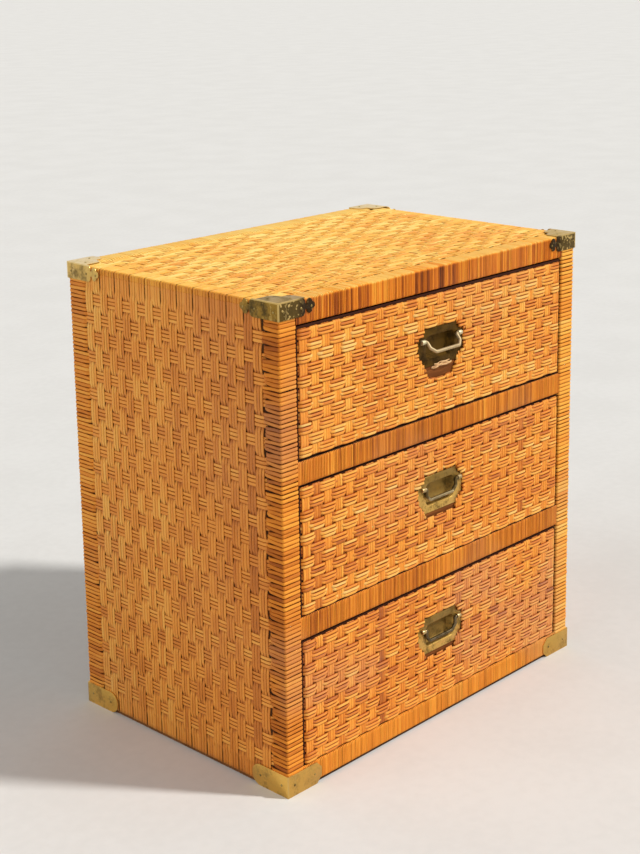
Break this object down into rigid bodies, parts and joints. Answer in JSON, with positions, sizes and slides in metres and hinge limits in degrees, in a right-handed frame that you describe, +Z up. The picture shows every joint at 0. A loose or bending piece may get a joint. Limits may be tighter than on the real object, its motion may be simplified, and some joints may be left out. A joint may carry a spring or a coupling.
{
  "type": "chest of drawers",
  "caption": "Small campaign chest: inset drawers in a wooden case clad in woven and wrapped cane, with brass corners and recessed bail pulls that swing.",
  "frame": {"origin": "middle of the base, on the floor", "axes": "+Z up, the drawers face -Y, +X to the right seen from the front"},
  "size_m": [0.6104, 0.4191, 0.6482],
  "materials": {
    "woven_cane": "woven rattan peel, satin",
    "wrapped_cane": "wound rattan peel, satin",
    "frame_wood": "plain softwood, stained",
    "board_wood": "plywood",
    "drawer_wood": "plain wood, waxed",
    "corner_brass": "aged brass with brown tarnish",
    "pull_brass": "aged brass",
    "bail_brass": "worn bright brass"
  },
  "bodies": {
    "case": {"front_left_post": "frame_wood", "front_left_post_wrap": "wrapped_cane", "front_right_post": "frame_wood", "front_right_post_wrap": "wrapped_cane", "rear_left_post": "frame_wood", "rear_left_post_wrap": "wrapped_cane", "rear_right_post": "frame_wood", "rear_right_post_wrap": "wrapped_cane", "left_side_panel": "board_wood", "left_side_weave": "woven_cane", "right_side_panel": "board_wood", "right_side_weave": "woven_cane", "top_panel": "board_wood", "bottom_panel": "board_wood", "back_panel": "board_wood", "top_weave": "woven_cane", "bottom_rail": "frame_wood", "bottom_rail_wrap": "wrapped_cane", "lower_divider_rail": "frame_wood", "lower_divider_rail_wrap": "wrapped_cane", "upper_divider_rail": "frame_wood", "upper_divider_rail_wrap": "wrapped_cane", "top_rail": "frame_wood", "top_rail_wrap": "wrapped_cane", "lower_runners": "frame_wood", "middle_runners": "frame_wood", "upper_runners": "frame_wood", "drawer_stops": "frame_wood", "front_left_upper_corner": "corner_brass", "front_right_upper_corner": "corner_brass", "rear_left_upper_corner": "corner_brass", "rear_right_upper_corner": "corner_brass", "front_left_lower_corner": "corner_brass", "front_right_lower_corner": "corner_brass", "rear_left_lower_corner": "corner_brass", "rear_right_lower_corner": "corner_brass"},
    "lower_drawer": {"lower_drawer_front_board": "drawer_wood", "lower_drawer_front_weave": "woven_cane", "lower_drawer_left_side": "drawer_wood", "lower_drawer_right_side": "drawer_wood", "lower_drawer_back": "drawer_wood", "lower_drawer_bottom": "drawer_wood", "lower_drawer_pull_plate": "pull_brass"},
    "lower_bail": {"lower_bail": "bail_brass"},
    "middle_drawer": {"middle_drawer_front_board": "drawer_wood", "middle_drawer_front_weave": "woven_cane", "middle_drawer_left_side": "drawer_wood", "middle_drawer_right_side": "drawer_wood", "middle_drawer_back": "drawer_wood", "middle_drawer_bottom": "drawer_wood", "middle_drawer_pull_plate": "pull_brass"},
    "middle_bail": {"middle_bail": "bail_brass"},
    "upper_drawer": {"upper_drawer_front_board": "drawer_wood", "upper_drawer_front_weave": "woven_cane", "upper_drawer_left_side": "drawer_wood", "upper_drawer_right_side": "drawer_wood", "upper_drawer_back": "drawer_wood", "upper_drawer_bottom": "drawer_wood", "upper_drawer_pull_plate": "pull_brass"},
    "upper_bail": {"upper_bail": "bail_brass"}
  },
  "joints": [
    {"name": "lower_drawer_slide", "type": "slide", "parent": "case", "child": "lower_drawer", "axis": [0, -1, 0], "range_m": [0, 0.29]},
    {"name": "lower_bail_swing", "type": "hinge", "parent": "lower_drawer", "child": "lower_bail", "pos_m": [0, -0.203, 0.1385], "axis": [-1, 0, 0], "range_deg": [0, 90]},
    {"name": "middle_drawer_slide", "type": "slide", "parent": "case", "child": "middle_drawer", "axis": [0, -1, 0], "range_m": [0, 0.29]},
    {"name": "middle_bail_swing", "type": "hinge", "parent": "middle_drawer", "child": "middle_bail", "pos_m": [0, -0.203, 0.3435], "axis": [-1, 0, 0], "range_deg": [0, 90]},
    {"name": "upper_drawer_slide", "type": "slide", "parent": "case", "child": "upper_drawer", "axis": [0, -1, 0], "range_m": [0, 0.29]},
    {"name": "upper_bail_swing", "type": "hinge", "parent": "upper_drawer", "child": "upper_bail", "pos_m": [0, -0.203, 0.5485], "axis": [-1, 0, 0], "range_deg": [-40, 50]}
  ]
}
